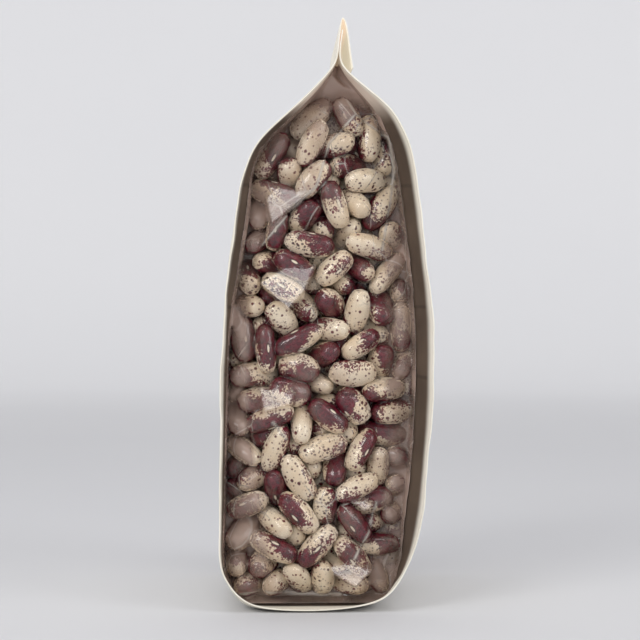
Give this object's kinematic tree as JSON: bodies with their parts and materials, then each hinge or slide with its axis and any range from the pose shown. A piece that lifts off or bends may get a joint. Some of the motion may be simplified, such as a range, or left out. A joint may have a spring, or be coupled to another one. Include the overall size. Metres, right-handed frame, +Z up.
{
  "type": "stand-up pack of dried beans",
  "caption": "Upright paper pack folded over at the top, with clear film sides that show mottled cream and maroon dried beans.",
  "frame": {"origin": "on the surface that the pack stands on, on the flat of its base", "axes": "+Z up to the fold at the top, X from one paper face to the other with the flap on +X, Y from the near clear side at -Y to the far one at +Y"},
  "size_m": [0.0665, 0.0904, 0.1788],
  "materials": {
    "paper": "thick uncoated cream paper, matt, tan and shaded on the inside",
    "beans": "smooth dry skins, cream with maroon patches and dots, low satin",
    "film": "thin clear film, glossy, with creases and a light haze where it stands off the beans"
  },
  "bodies": {
    "root": {"paper_wrap": "paper", "bean_heap": "beans", "film_near": "film", "film_far": "film"}
  },
  "joints": []
}
